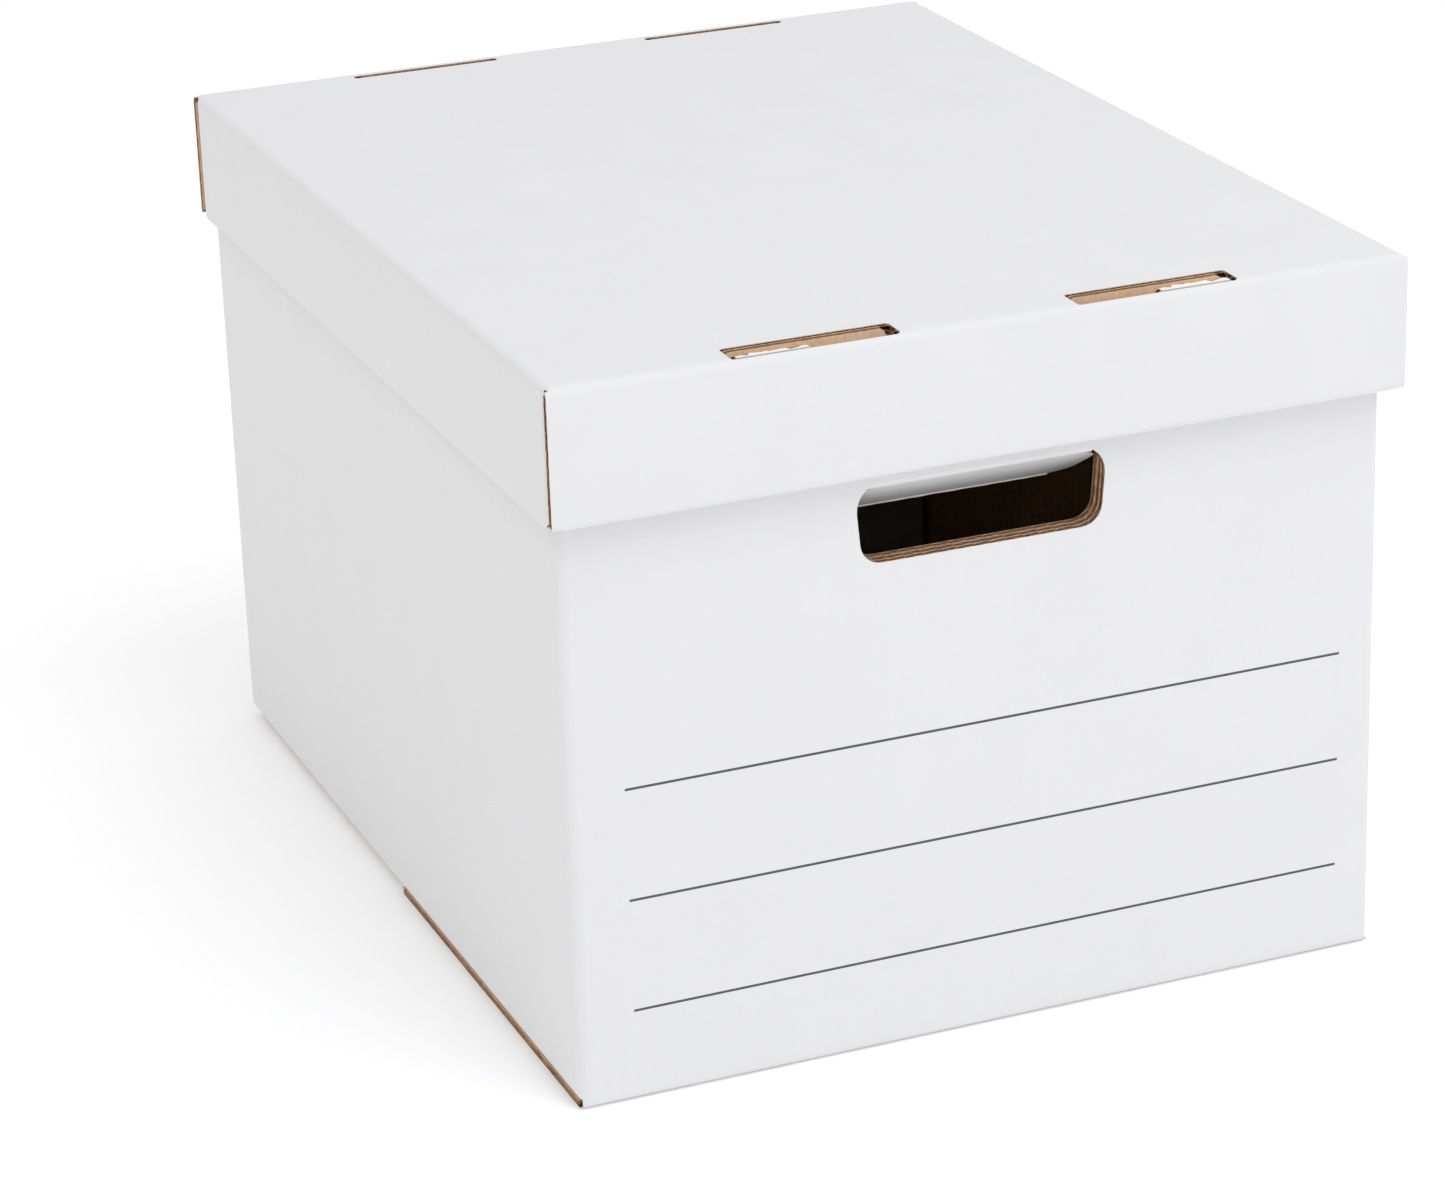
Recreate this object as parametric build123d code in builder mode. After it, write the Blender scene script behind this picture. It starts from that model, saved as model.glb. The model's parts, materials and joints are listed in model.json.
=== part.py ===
from build123d import *

import math
import os

os.makedirs("parts", exist_ok=True)

# Archival box of white-faced corrugated board, folded from two die-cut blanks: a box and its lid.
# Frame: +Z up, X across the ends, -Y the label end, origin on the floor at the middle of the lid.

# ---------------------------------------------------------------------------------------------
# Driving dimensions, in mm
# ---------------------------------------------------------------------------------------------

# Outside of the closed box
lid_width = 317.5
lid_length = 411.5
overall_height = 266.7

# Board and its creases: each crease has an inside radius
board = 2.75
soft_bend = 0.8
tight_bend = 0.3
corner_bend = 2.25

# Lid
skirt_height = 50.0
roll_gap = 0.3
skirt_corner_radius = 5.0
slot_length = 61.0
slot_spacing = 126.0
slot_near_edge = 1.8
slot_far_edge = 13.0
slot_corner_radius = 1.5
rear_slot_play = 0.4
lock_tab_side_gap = 1.6
lock_tab_back_gap = 0.8
lock_tab_drift = 1.1
tab_below_surface = 0.4
corner_tab_taper = 3.0
lug_below_surface = 0.6
lug_inset = 0.75
lug_side_gap = 1.2
lug_end_radius = 1.0

# Fit of the lid over the box
side_clearance = 0.75
end_clearance = 0.5
lid_rest_gap = 0.25
rim_drop = 3.3

# Box
seam_flap_width = 35.0
seam_flap_taper = 12.0
ply_gap = 0.6
flap_meeting_gap = 0.8
flap_side_inset = 0.8
fit_gap = 0.3
edge_gap = 0.1

# Hand holes and the tabs cut from them
hole_below_lid = 4.6
hole_height = 29.0
hole_top_width = 95.0
hole_bottom_width = 90.0
hole_top_radius = 9.5
hole_bottom_radius = 8.0
inner_hole_top_radius = 1.5
inner_hole_rise = 0.6
hand_tab_gap = 0.35
hand_tab_angle = 58.5

# ---------------------------------------------------------------------------------------------
# Sizes that follow from them
# ---------------------------------------------------------------------------------------------

lid_end_thickness = 3 * board + 2 * roll_gap
skirt_bottom = overall_height - skirt_height
corner_tab_offset = board + roll_gap
lid_underside = overall_height - board

box_width = lid_width - 2 * board - 2 * side_clearance
box_length = lid_length - 2 * lid_end_thickness - 2 * end_clearance
box_top = lid_underside - lid_rest_gap
rim_top = box_top - rim_drop
floor_top = 2 * board
box_end_thickness = 3 * board + ply_gap
ply_half_width = box_width / 2 - board - corner_bend - edge_gap

hole_top = skirt_bottom - hole_below_lid
hole_bottom = hole_top - hole_height
lock_tab_root = rim_top + edge_gap

# Creases: inside radius, and the turn in degrees that each of the two panels takes
SOFT = (soft_bend, 45)
TIGHT = (tight_bend, 45)
CORNER = (corner_bend, 45)
TURNED_BACK = (tight_bend, 90)

# Deeper than any crease, shallower than any panel is wide
trim_depth = 4 * board

lid_ends = (("front", -1), ("rear", 1))
lid_sides = (("left", -1), ("right", 1))


# ---------------------------------------------------------------------------------------------
# Helpers: a panel is flat board with half of a crease along each edge that is folded
# ---------------------------------------------------------------------------------------------

def upright(normal_x, normal_y, distance):
    """Plane of an upright panel's white side: local x runs level, local y is up."""
    origin = (normal_x * distance, normal_y * distance, 0)
    return Plane(origin=origin, x_dir=(-normal_y, normal_x, 0), z_dir=(normal_x, normal_y, 0))


def level(height, facing):
    """Plane of a level panel's white side, facing up (1) or down (-1); local x is +X."""
    return Plane(origin=(0, 0, height), x_dir=(1, 0, 0), z_dir=(0, 0, facing))


def edge_view(span, creases, filled=False):
    """Draw a panel seen along its face: local x along the panel, white side at y = 0.

    A filled view is deep under the white side, and is used to trim a panel's ends.
    """
    depth = trim_depth if filled else board
    flat = list(span)
    for end, crease in enumerate(creases):
        if crease is None:
            continue
        inside, half_turn = crease
        outside = inside + board
        flat[end] += outside if end == 0 else -outside
        centre = Vector(flat[end], -outside)
        first_angle = 90 if end == 0 else 90 - half_turn
        with BuildLine() as half_crease:
            outer = CenterArc(centre, outside, first_angle, half_turn)
            if filled:
                Line(outer @ 0, centre)
                Line(outer @ 1, centre)
            else:
                inner = CenterArc(centre, inside, first_angle, half_turn)
                Line(outer @ 0, inner @ 0)
                Line(outer @ 1, inner @ 1)
        make_face(half_crease.edges())
    with Locations(((flat[0] + flat[1]) / 2, -depth / 2)):
        Rectangle(flat[1] - flat[0], depth)


def folded_panel(face, across, up, across_creases=(None, None), up_creases=(None, None)):
    """Add one panel with its white side on face, over a span across (x) and a span up (y)."""
    seen_from_side = Plane(origin=face.origin, x_dir=face.y_dir, z_dir=face.x_dir)
    with BuildSketch(seen_from_side.offset(across[0])) as side_view:
        edge_view(up, up_creases)
    extrude(side_view.sketch, amount=across[1] - across[0])
    seen_from_above = Plane(origin=face.origin, x_dir=face.x_dir, z_dir=-face.y_dir)
    with BuildSketch(seen_from_above.offset(-up[1])) as top_view:
        edge_view(across, across_creases, filled=True)
    extrude(top_view.sketch, amount=up[1] - up[0], mode=Mode.INTERSECT)


def hand_hole_outline(top_radius, rise=0.0):
    """Draw a hand hole in a panel's own plane, where y is the height above the floor."""
    half_top = hole_top_width / 2
    half_bottom = hole_bottom_width / 2
    Polygon(
        (-half_bottom, hole_bottom),
        (half_bottom, hole_bottom),
        (half_top, hole_top + rise),
        (-half_top, hole_top + rise),
        align=None,
    )
    corners = vertices().group_by(Axis.Y)
    fillet(corners[0], hole_bottom_radius)
    corners = vertices().group_by(Axis.Y)
    fillet(corners[-1], top_radius)


def finish(piece, name):
    """Name a finished piece and write it out."""
    piece.part.label = name
    export_step(piece.part, f"parts/{name}.step")


# ---------------------------------------------------------------------------------------------
# Box: the upright walls, a tube glued at the rear left corner
# ---------------------------------------------------------------------------------------------

# The left wall's rear edge is raw: it overlaps the seam flap
side_wall_top = box_top
side_wall_bottom = board

with BuildPart() as left_side_panel:
    folded_panel(
        upright(-1, 0, box_width / 2),
        (-box_length / 2, box_length / 2),
        (side_wall_bottom, side_wall_top),
        across_creases=(None, CORNER),
        up_creases=(SOFT, None),
    )
finish(left_side_panel, "left_side_panel")

with BuildPart() as right_side_panel:
    folded_panel(
        upright(1, 0, box_width / 2),
        (-box_length / 2, box_length / 2),
        (side_wall_bottom, side_wall_top),
        across_creases=(CORNER, CORNER),
        up_creases=(SOFT, None),
    )
finish(right_side_panel, "right_side_panel")

# Seam flap: glued inside the left wall, tapered at both ends so that it never shows
with BuildPart() as seam_flap:
    seam_face = upright(-1, 0, box_width / 2 - board)
    seam_rear = -box_length / 2
    seam_front = seam_rear + seam_flap_width
    seam_low = floor_top + fit_gap
    seam_high = rim_top - board
    folded_panel(seam_face, (seam_rear, seam_front), (seam_low, seam_high), (CORNER, None))
    with BuildSketch(seam_face):
        with BuildLine():
            Polyline(
                (seam_rear, seam_low),
                (seam_front, seam_low + seam_flap_taper),
                (seam_front, seam_high - seam_flap_taper),
                (seam_rear, seam_high),
                close=True,
            )
        make_face()
    extrude(amount=-trim_depth, mode=Mode.INTERSECT)
finish(seam_flap, "seam_flap")

# Ends: the outer ply turns over the rim and down inside, then back up between the two. All three
# plies have the hand hole. The rear end stops a board's thickness short, at the seam flap.
for end, facing in lid_ends:
    seam = board if end == "rear" else 0
    inner_span = (-ply_half_width, ply_half_width - seam)
    outer_face = upright(0, facing, box_length / 2)
    middle_face = upright(0, facing, box_length / 2 - board)
    inner_face = upright(0, -facing, box_end_thickness - box_length / 2)
    inner_face_span = (-inner_span[1], -inner_span[0])
    middle_top = rim_top - board - soft_bend - edge_gap

    with BuildPart() as end_panel:
        folded_panel(
            outer_face,
            (-box_width / 2, box_width / 2 - seam),
            (0, rim_top),
            across_creases=(CORNER, CORNER),
            up_creases=(SOFT, SOFT),
        )
        with BuildSketch(outer_face):
            hand_hole_outline(hole_top_radius)
        extrude(amount=-board, mode=Mode.SUBTRACT)
    finish(end_panel, f"{end}_end_panel")

    with BuildPart() as rim:
        rim_face = Plane(origin=(0, 0, rim_top), x_dir=outer_face.x_dir, z_dir=(0, 0, 1))
        rim_outer = -box_length / 2
        folded_panel(
            rim_face,
            inner_span,
            (rim_outer, rim_outer + box_end_thickness),
            up_creases=(SOFT, SOFT),
        )
    finish(rim, f"{end}_rim")

    with BuildPart() as middle_panel:
        folded_panel(
            middle_face,
            inner_span,
            (floor_top, middle_top),
            up_creases=(TURNED_BACK, None),
        )
        with BuildSketch(middle_face):
            hand_hole_outline(inner_hole_top_radius, inner_hole_rise)
        extrude(amount=-board, mode=Mode.SUBTRACT)
    finish(middle_panel, f"{end}_middle_panel")

    with BuildPart() as inner_panel:
        folded_panel(
            inner_face,
            inner_face_span,
            (floor_top, rim_top),
            up_creases=(TURNED_BACK, SOFT),
        )
        with BuildSketch(inner_face):
            hand_hole_outline(inner_hole_top_radius, inner_hole_rise)
        extrude(amount=-board, mode=Mode.SUBTRACT)
    finish(inner_panel, f"{end}_inner_panel")

    # The hand tab hangs from the crease at the top of the outer ply's hole, at its inner side
    with BuildPart() as hand_tab:
        lean = math.radians(hand_tab_angle)
        crease_line = Plane(
            origin=(0, facing * (box_length / 2 - board), hole_top),
            x_dir=outer_face.x_dir,
            z_dir=(0, facing * math.cos(lean), -math.sin(lean)),
        )
        tab_plane = Plane(
            origin=crease_line.from_local_coords((0, -hole_top, 0)),
            x_dir=crease_line.x_dir,
            z_dir=crease_line.z_dir,
        )
        with BuildSketch(tab_plane):
            hand_hole_outline(hole_top_radius)
            offset(amount=-hand_tab_gap)
        extrude(amount=board)
    finish(hand_tab, f"{end}_hand_tab")

# ---------------------------------------------------------------------------------------------
# Box: the double bottom
# ---------------------------------------------------------------------------------------------

# The end flaps are the lower layer and meet at mid length; their side edges are raw
end_flap_half = box_width / 2 - flap_side_inset
end_flap_face = level(0, -1)

with BuildPart() as front_bottom_flap:
    folded_panel(
        end_flap_face,
        (-end_flap_half, end_flap_half),
        (flap_meeting_gap / 2, box_length / 2),
        up_creases=(None, SOFT),
    )
finish(front_bottom_flap, "front_bottom_flap")

with BuildPart() as rear_bottom_flap:
    folded_panel(
        end_flap_face,
        (board - end_flap_half, end_flap_half),
        (-box_length / 2, -flap_meeting_gap / 2),
        up_creases=(SOFT, None),
    )
finish(rear_bottom_flap, "rear_bottom_flap")

# The side flaps lie on them and meet at mid width
side_flap_half = box_length / 2 - board - soft_bend - edge_gap
side_flap_face = level(side_wall_bottom, -1)

with BuildPart() as left_bottom_flap:
    folded_panel(
        side_flap_face,
        (-box_width / 2, -flap_meeting_gap / 2),
        (-side_flap_half, side_flap_half),
        across_creases=(SOFT, None),
    )
finish(left_bottom_flap, "left_bottom_flap")

with BuildPart() as right_bottom_flap:
    folded_panel(
        side_flap_face,
        (flap_meeting_gap / 2, box_width / 2),
        (-side_flap_half, side_flap_half),
        across_creases=(None, SOFT),
    )
finish(right_bottom_flap, "right_bottom_flap")

# ---------------------------------------------------------------------------------------------
# Lid
# ---------------------------------------------------------------------------------------------

# Top panel, with a pair of slots behind each end's fold: the front pair starts on the bend and is
# wide, the rear pair is only as wide as the inner ply that stands in it
slot_edges = {
    "front": (slot_near_edge, slot_far_edge),
    "rear": (lid_end_thickness - board - rear_slot_play, lid_end_thickness + rear_slot_play),
}

with BuildPart() as lid_top_panel:
    lid_top_face = level(overall_height, 1)
    folded_panel(
        lid_top_face,
        (-lid_width / 2, lid_width / 2),
        (-lid_length / 2, lid_length / 2),
        across_creases=(SOFT, SOFT),
        up_creases=(SOFT, SOFT),
    )
    with BuildSketch(lid_top_face):
        for end, facing in lid_ends:
            near_edge, far_edge = slot_edges[end]
            slot_middle = lid_length / 2 - (near_edge + far_edge) / 2
            with Locations((-slot_spacing / 2, facing * slot_middle), (slot_spacing / 2, facing * slot_middle)):
                RectangleRounded(slot_length, far_edge - near_edge, slot_corner_radius)
    extrude(amount=-trim_depth, mode=Mode.SUBTRACT)
finish(lid_top_panel, "lid_top_panel")

# Side skirts: one ply, turned in at both ends behind the end skirts
side_skirt_half = lid_length / 2 - corner_tab_offset

for side, facing in lid_sides:
    skirt_face = upright(facing, 0, lid_width / 2)
    with BuildPart() as side_skirt:
        folded_panel(
            skirt_face,
            (-side_skirt_half, side_skirt_half),
            (skirt_bottom, overall_height),
            across_creases=(SOFT, SOFT),
            up_creases=(None, SOFT),
        )
        with BuildSketch(skirt_face):
            with Locations((0, skirt_bottom + skirt_height / 2)):
                Rectangle(2 * side_skirt_half, skirt_height)
            fillet(vertices().group_by(Axis.Y)[0], skirt_corner_radius)
        extrude(amount=-trim_depth, mode=Mode.INTERSECT)
    finish(side_skirt, f"lid_{side}_skirt")

# Rolled ends: outer skirt, narrow spine along the bottom, inner panel whose lock tabs stand in the
# slots, and a corner tab from each side skirt held between the two plies
lid_inner_half = lid_width / 2 - board - soft_bend - 2 * edge_gap
lid_inner_top = lid_underside - fit_gap
corner_tab_low = skirt_bottom + board + tight_bend + edge_gap
corner_tab_high = lid_underside - soft_bend - edge_gap
corner_tab_free = slot_spacing / 2 + lug_inset

for end, facing in lid_ends:
    skirt_face = upright(0, facing, lid_length / 2)
    with BuildPart() as end_skirt:
        folded_panel(
            skirt_face,
            (-lid_width / 2, lid_width / 2),
            (skirt_bottom, overall_height),
            up_creases=(TIGHT, SOFT),
        )
    finish(end_skirt, f"lid_{end}_skirt")

    with BuildPart() as spine:
        spine_face = Plane(origin=(0, 0, skirt_bottom), x_dir=skirt_face.x_dir, z_dir=(0, 0, -1))
        folded_panel(
            spine_face,
            (-lid_inner_half, lid_inner_half),
            (lid_length / 2 - lid_end_thickness, lid_length / 2),
            up_creases=(TIGHT, TIGHT),
        )
    finish(spine, f"lid_{end}_spine")

    inner_distance = lid_length / 2 - lid_end_thickness
    inner_face = upright(0, -facing, -inner_distance)
    with BuildPart() as lid_inner_panel:
        folded_panel(
            inner_face,
            (-lid_inner_half, lid_inner_half),
            (skirt_bottom, lid_inner_top),
            up_creases=(TIGHT, None),
        )
        # Each lock tab stands in its slot: at the front it leans back towards the slot's far edge
        tab_width = slot_length - 2 * lock_tab_side_gap
        tab_top = overall_height - tab_below_surface
        tab_shift = slot_far_edge - lock_tab_back_gap - lid_end_thickness if end == "front" else 0
        for slot_centre in (-slot_spacing / 2, slot_spacing / 2):
            tab_section = Plane(origin=inner_face.origin, x_dir=inner_face.y_dir, z_dir=inner_face.x_dir)
            with BuildSketch(tab_section.offset(slot_centre + lock_tab_drift - tab_width / 2)):
                with BuildLine():
                    Polyline(
                        (lock_tab_root, -board),
                        (tab_top, tab_shift - board),
                        (tab_top, tab_shift),
                        (lock_tab_root, 0),
                        close=True,
                    )
                make_face()
            extrude(amount=tab_width)
    finish(lid_inner_panel, f"lid_{end}_inner_panel")

    tab_face = upright(0, facing, lid_length / 2 - corner_tab_offset)
    for side, side_sign in lid_sides:
        # Local x of the tab's plane runs along +X at the front and along -X at the rear
        local_sign = -side_sign * facing
        spans = {1: (corner_tab_free, lid_width / 2), -1: (-lid_width / 2, -corner_tab_free)}
        creases = {1: (None, SOFT), -1: (SOFT, None)}
        slot_outer = slot_spacing / 2 + slot_length / 2 - lug_side_gap
        with BuildPart() as corner_tab:
            folded_panel(
                tab_face,
                spans[local_sign],
                (corner_tab_low, corner_tab_high),
                across_creases=creases[local_sign],
            )
            # The lower free corner is cut back so that it slides in over the spine
            with BuildSketch(tab_face):
                with BuildLine():
                    Polyline(
                        (local_sign * corner_tab_free, corner_tab_low),
                        (local_sign * (corner_tab_free + corner_tab_taper), corner_tab_low),
                        (local_sign * corner_tab_free, corner_tab_low + corner_tab_taper),
                        close=True,
                    )
                make_face()
            extrude(amount=-board, mode=Mode.SUBTRACT)
            # A lug on the upper edge stands in the outer half of the wide slot
            if end == "front":
                lug_top = overall_height - lug_below_surface
                lug_length = slot_outer - corner_tab_free
                lug_height = lug_top - corner_tab_high
                lug_centre = (local_sign * (corner_tab_free + lug_length / 2), lug_top - lug_height / 2)
                with BuildSketch(tab_face):
                    with Locations(lug_centre):
                        Rectangle(lug_length, lug_height)
                    fillet(vertices().group_by(Axis.Y)[-1], lug_end_radius)
                extrude(amount=-board)
        finish(corner_tab, f"lid_{end}_{side}_corner_tab")
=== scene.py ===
import json
import math

import bpy
import numpy as np
from mathutils import Matrix, Vector

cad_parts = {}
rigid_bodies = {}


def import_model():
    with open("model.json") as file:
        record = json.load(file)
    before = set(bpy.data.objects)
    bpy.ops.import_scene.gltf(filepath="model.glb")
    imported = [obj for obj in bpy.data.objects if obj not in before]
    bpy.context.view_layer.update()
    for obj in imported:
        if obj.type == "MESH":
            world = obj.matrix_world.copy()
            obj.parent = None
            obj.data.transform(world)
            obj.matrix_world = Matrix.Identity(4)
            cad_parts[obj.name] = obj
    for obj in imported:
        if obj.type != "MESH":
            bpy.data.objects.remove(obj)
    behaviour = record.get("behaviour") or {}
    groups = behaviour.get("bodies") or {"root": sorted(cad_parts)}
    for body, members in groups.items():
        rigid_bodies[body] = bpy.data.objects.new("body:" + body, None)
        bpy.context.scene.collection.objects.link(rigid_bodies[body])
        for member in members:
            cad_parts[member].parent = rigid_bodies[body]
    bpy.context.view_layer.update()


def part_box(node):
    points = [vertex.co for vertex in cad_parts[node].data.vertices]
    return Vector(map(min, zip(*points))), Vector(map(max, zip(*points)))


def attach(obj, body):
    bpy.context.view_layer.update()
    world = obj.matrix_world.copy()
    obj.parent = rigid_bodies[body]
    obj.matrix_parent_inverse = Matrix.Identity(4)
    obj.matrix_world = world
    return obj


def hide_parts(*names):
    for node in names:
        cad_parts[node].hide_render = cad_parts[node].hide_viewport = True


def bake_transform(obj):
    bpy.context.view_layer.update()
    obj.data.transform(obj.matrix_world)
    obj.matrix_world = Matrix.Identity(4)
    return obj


for thing in list(bpy.data.objects):
    bpy.data.objects.remove(thing)
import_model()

# Camera
# In front of the box, to its left and above it, with a long lens: the label end, the left side
# and the whole lid are in view, and the left and right uprights lean by a degree or two.
camera_place = Vector((-0.6118, -1.5087, 0.7352))
camera_turn = math.radians(21.446)
camera_fall = math.radians(21.5)
camera_roll = math.radians(-1.91)


def scene_object(name, data):
    """A new object in the scene."""
    made = bpy.data.objects.new(name, data)
    bpy.context.scene.collection.objects.link(made)
    return made


forward = Vector((
    math.sin(camera_turn) * math.cos(camera_fall),
    math.cos(camera_turn) * math.cos(camera_fall),
    -math.sin(camera_fall),
))
level_right = forward.cross(Vector((0, 0, 1))).normalized()
level_up = level_right.cross(forward)
camera_right = math.cos(camera_roll) * level_right + math.sin(camera_roll) * level_up
camera_up = math.cos(camera_roll) * level_up - math.sin(camera_roll) * level_right
camera_data = bpy.data.cameras.new("camera")
camera_data.sensor_width = 36
camera_data.lens = 112.64
camera = scene_object("camera", camera_data)
camera.matrix_world = Matrix.Translation(camera_place) @ Matrix(
    (camera_right, camera_up, -forward)
).transposed().to_4x4()
bpy.context.scene.camera = camera

# Side walls of the box
# Single plies of white-faced corrugated board: a white liner outside, a fluted paper glued
# between, and a brown liner inside. The flutes stand upright. Each wall is folded from the ends
# at its upright corners and from a bottom flap at its foot.
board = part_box("left_bottom_flap")[1].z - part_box("left_bottom_flap")[0].z
liner = 0.00034
fluting_paper = 0.00034
flute_pitch = 0.0063
steps_per_flute = 10
steps_per_bend = 4
corner_segments = 6
narrowest_strip = 0.00004
sharp_angle = math.radians(50)

box_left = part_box("left_side_panel")[0].x
box_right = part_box("right_side_panel")[1].x
box_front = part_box("front_end_panel")[0].y
box_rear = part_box("rear_end_panel")[1].y
wall_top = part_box("left_side_panel")[1].z

# A crease: the radius inside it, and the half of its turn that each of its panels takes
tight_radius = 0.0003
soft = (0.0008, math.radians(45))
tight = (tight_radius, math.radians(45))
corner = (0.00225, math.radians(45))
turned_back = (tight_radius, math.radians(90))


def shader_group(name, inputs, outputs):
    """A new node group with its sockets, and its two ends."""
    tree = bpy.data.node_groups.new(name, "ShaderNodeTree")
    for label, kind, value in inputs:
        socket = tree.interface.new_socket(label, in_out="INPUT", socket_type=f"NodeSocket{kind}")
        if kind != "Vector":
            socket.default_value = value
    for label, kind in outputs:
        tree.interface.new_socket(label, in_out="OUTPUT", socket_type=f"NodeSocket{kind}")
    return tree, tree.nodes.new("NodeGroupInput"), tree.nodes.new("NodeGroupOutput")


def node(tree, kind, values=(), **settings):
    """A new node: values go to its inputs, and a socket given as a value is linked."""
    made = tree.nodes.new(kind)
    for name, value in settings.items():
        setattr(made, name, value)
    for label, value in dict(values).items():
        if isinstance(value, bpy.types.NodeSocket):
            tree.links.new(value, made.inputs[label])
        else:
            made.inputs[label].default_value = value
    return made


def sum_of(tree, first, second, operation="ADD"):
    """The output of a Math node between two sockets or numbers."""
    return node(tree, "ShaderNodeMath", {0: first, 1: second}, operation=operation).outputs[0]


# Paper grain: short fibres that lie mostly one way, and the cloudy mottle of the sheet
grain_group, grain_in, grain_out = shader_group(
    "paper_grain",
    (("Vector", "Vector", None), ("Fibre Length", "Float", 0.001), ("Mottle Size", "Float", 0.03)),
    (("Fibres", "Float"), ("Mottle", "Float")),
)
stretched = node(
    grain_group, "ShaderNodeVectorMath",
    {0: grain_in.outputs["Vector"], 1: (1.0, 0.35, 0.6)}, operation="MULTIPLY",
).outputs[0]
fibres = node(grain_group, "ShaderNodeTexNoise", {
    "Vector": stretched,
    "Scale": sum_of(grain_group, 1.0, grain_in.outputs["Fibre Length"], "DIVIDE"),
    "Detail": 3.0,
    "Roughness": 0.6,
})
mottle = node(grain_group, "ShaderNodeTexNoise", {
    "Vector": grain_in.outputs["Vector"],
    "Scale": sum_of(grain_group, 1.0, grain_in.outputs["Mottle Size"], "DIVIDE"),
    "Detail": 4.0,
    "Roughness": 0.55,
})
grain_group.links.new(fibres.outputs["Fac"], grain_out.inputs["Fibres"])
grain_group.links.new(mottle.outputs["Fac"], grain_out.inputs["Mottle"])

# Washboard: the liner sinks a little between the flutes that carry it
washboard_group, washboard_in, washboard_out = shader_group(
    "washboard", (("Across", "Float", 0.0), ("Pitch", "Float", 0.0063)), (("Height", "Float"),)
)
turns = sum_of(washboard_group, washboard_in.outputs["Across"], washboard_in.outputs["Pitch"], "DIVIDE")
angle = sum_of(washboard_group, turns, 2 * math.pi, "MULTIPLY")
washboard_group.links.new(sum_of(washboard_group, angle, 0.0, "SINE"), washboard_out.inputs["Height"])


mottle_size = 0.03
shade_low, shade_high = 0.3, 0.7
roughness_spread = 0.06


def paper_material(name, dark, light, roughness, gloss, fibre_share, fibre_length, bump, washboard=0.0):
    """A paper whose colour runs from dark to light with its fibres and mottle."""
    made = bpy.data.materials.new(name)
    made.use_nodes = True
    tree = made.node_tree
    shader = tree.nodes["Principled BSDF"]
    place = tree.nodes.new("ShaderNodeTexCoord")
    grain = node(tree, "ShaderNodeGroup", node_tree=grain_group)
    tree.links.new(place.outputs["Object"], grain.inputs["Vector"])
    grain.inputs["Fibre Length"].default_value = fibre_length
    grain.inputs["Mottle Size"].default_value = mottle_size
    shade = node(tree, "ShaderNodeMix", {
        "Factor": fibre_share, "A": grain.outputs["Mottle"], "B": grain.outputs["Fibres"],
    }).outputs["Result"]
    spread = node(tree, "ShaderNodeMapRange", {
        "Value": shade, "From Min": shade_low, "From Max": shade_high,
    }).outputs["Result"]
    colour = node(tree, "ShaderNodeMix", data_type="RGBA")
    tree.links.new(spread, colour.inputs["Factor"])
    colour.inputs["A"].default_value = (*dark, 1)
    colour.inputs["B"].default_value = (*light, 1)
    tree.links.new(colour.outputs["Result"], shader.inputs["Base Color"])
    height = grain.outputs["Fibres"]
    if washboard:
        sheet_map = node(tree, "ShaderNodeUVMap", uv_map="sheet")
        split = node(tree, "ShaderNodeSeparateXYZ", {0: sheet_map.outputs["UV"]})
        waves = node(tree, "ShaderNodeGroup", node_tree=washboard_group)
        tree.links.new(split.outputs["X"], waves.inputs["Across"])
        waves.inputs["Pitch"].default_value = flute_pitch
        height = sum_of(tree, height, sum_of(tree, waves.outputs["Height"], washboard, "MULTIPLY"))
    relief = node(tree, "ShaderNodeBump", {"Height": height, "Strength": 1.0, "Distance": bump})
    tree.links.new(relief.outputs["Normal"], shader.inputs["Normal"])
    rough = node(tree, "ShaderNodeMapRange", {
        "Value": grain.outputs["Mottle"],
        "To Min": roughness - roughness_spread, "To Max": roughness + roughness_spread,
    }).outputs["Result"]
    tree.links.new(rough, shader.inputs["Roughness"])
    shader.inputs["Specular IOR Level"].default_value = gloss
    return made


white_liner = paper_material(
    "white_liner", dark=(0.738, 0.738, 0.741), light=(0.760, 0.760, 0.763), roughness=0.52, gloss=0.35,
    fibre_share=0.35, fibre_length=0.0009, bump=0.00001, washboard=1.2,
)
brown_liner = paper_material(
    "brown_liner", dark=(0.54, 0.35, 0.21), light=(0.75, 0.53, 0.345), roughness=0.75, gloss=0.25,
    fibre_share=0.6, fibre_length=0.0014, bump=0.00003, washboard=1.5,
)
# The fluting finish is partly the medium's own darker kraft and partly painted shade: it is made darker
# still, so that the hollows between the flutes and the liners look shaded.
fluting_with_painted_shade = paper_material(
    "fluting_with_painted_shade", dark=(0.16, 0.085, 0.045), light=(0.30, 0.165, 0.085), roughness=0.8, gloss=0.2,
    fibre_share=0.7, fibre_length=0.0010, bump=0.00003,
)
cut_white = paper_material(
    "cut_white_edge", dark=(0.42, 0.25, 0.14), light=(0.86, 0.74, 0.60), roughness=0.7, gloss=0.2,
    fibre_share=0.8, fibre_length=0.0008, bump=0.00003,
)
cut_brown = paper_material(
    "cut_brown_edge", dark=(0.17, 0.07, 0.03), light=(1.0, 0.64, 0.37), roughness=0.8, gloss=0.2,
    fibre_share=0.9, fibre_length=0.0018, bump=0.00005,
)
papers = (white_liner, brown_liner, fluting_with_painted_shade, cut_white, cut_brown)
WHITE, BROWN, FLUTING_WITH_PAINTED_SHADE, CUT_WHITE, CUT_BROWN = range(5)


def upright(normal_x, normal_y, distance):
    """An upright panel's white side: its origin, and the ways right, up and outwards."""
    outwards = Vector((normal_x, normal_y, 0))
    return outwards * distance, Vector((-normal_y, normal_x, 0)), Vector((0, 0, 1)), outwards


def level(height, facing):
    """A level panel's white side, facing up (1) or down (-1)."""
    return Vector((0, 0, height)), Vector((1, 0, 0)), Vector((0, facing, 0)), Vector((0, 0, facing))


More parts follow.
